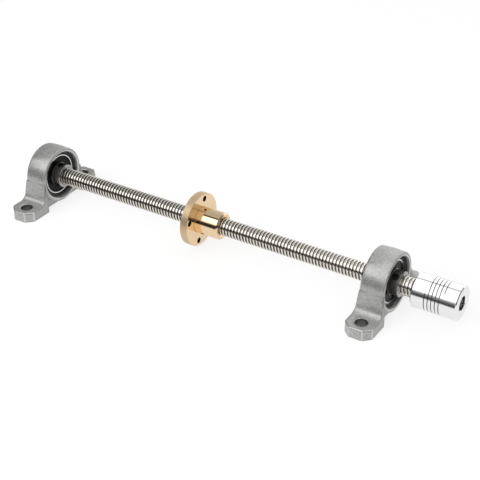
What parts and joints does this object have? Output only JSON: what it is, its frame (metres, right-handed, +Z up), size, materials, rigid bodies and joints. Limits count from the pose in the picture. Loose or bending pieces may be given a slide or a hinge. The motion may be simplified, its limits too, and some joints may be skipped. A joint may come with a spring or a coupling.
{
  "type": "trapezoidal lead screw",
  "caption": "Trapezoidal lead screw carried in two pillow block bearings, with a brass flange nut and a helical beam coupling for a motor shaft.",
  "frame": {"origin": "on the surface that the feet stand on, midway between the two bolt holes of the left bearing block", "axes": "+X along the screw from the left block to the coupling, +Z up, +Y across the screw"},
  "size_m": [0.275, 0.067, 0.035],
  "materials": {
    "screw_steel": "bright rolled stainless steel",
    "nut_brass": "turned and polished brass",
    "cast_zinc": "satin die-cast zinc alloy",
    "bearing_steel": "ground bearing steel",
    "dark_steel": "black oxide bearing steel",
    "ball_steel": "polished bearing steel",
    "cage_nylon": "natural nylon",
    "seal_rubber": "black nitrile rubber",
    "black_steel": "black oxide steel",
    "coupling_aluminium": "bright turned aluminium"
  },
  "bodies": {
    "frame": {"left_housing": "cast_zinc", "right_housing": "cast_zinc", "left_outer_ring": "bearing_steel", "right_outer_ring": "bearing_steel", "left_front_seal": "seal_rubber", "right_front_seal": "seal_rubber", "left_rear_seal": "seal_rubber", "right_rear_seal": "seal_rubber"},
    "screw": {"lead_screw": "screw_steel", "left_inner_ring": "dark_steel", "right_inner_ring": "dark_steel", "left_collar_grub_screws": "black_steel", "right_collar_grub_screws": "black_steel", "shaft_coupling": "coupling_aluminium", "screw_side_grub_screws": "black_steel", "motor_side_grub_screws": "black_steel"},
    "nut": {"flange_nut": "nut_brass"},
    "left_ball_set": {"left_balls": "ball_steel", "left_ball_cage": "cage_nylon"},
    "right_ball_set": {"right_balls": "ball_steel", "right_ball_cage": "cage_nylon"}
  },
  "joints": [
    {"name": "screw_spin", "type": "hinge", "parent": "frame", "child": "screw", "pos_m": [0, 0, 0.018], "axis": [1, 0, 0], "range_deg": [-16200, 16200]},
    {"name": "nut_travel", "type": "slide", "parent": "frame", "child": "nut", "axis": [1, 0, 0], "range_m": [-0.0905, 0.0905]},
    {"name": "left_ball_orbit", "type": "hinge", "parent": "frame", "child": "left_ball_set", "pos_m": [0, 0, 0.018], "axis": [1, 0, 0], "range_deg": [-5940, 5940]},
    {"name": "right_ball_orbit", "type": "hinge", "parent": "frame", "child": "right_ball_set", "pos_m": [0.224, 0, 0.018], "axis": [1, 0, 0], "range_deg": [-5940, 5940]}
  ],
  "couplings": [
    {"joint": "nut_travel", "follows": "screw_spin", "m_per_rad": -0.00031831},
    {"joint": "left_ball_orbit", "follows": "screw_spin", "ratio": 0.36629},
    {"joint": "right_ball_orbit", "follows": "screw_spin", "ratio": 0.36629}
  ]
}
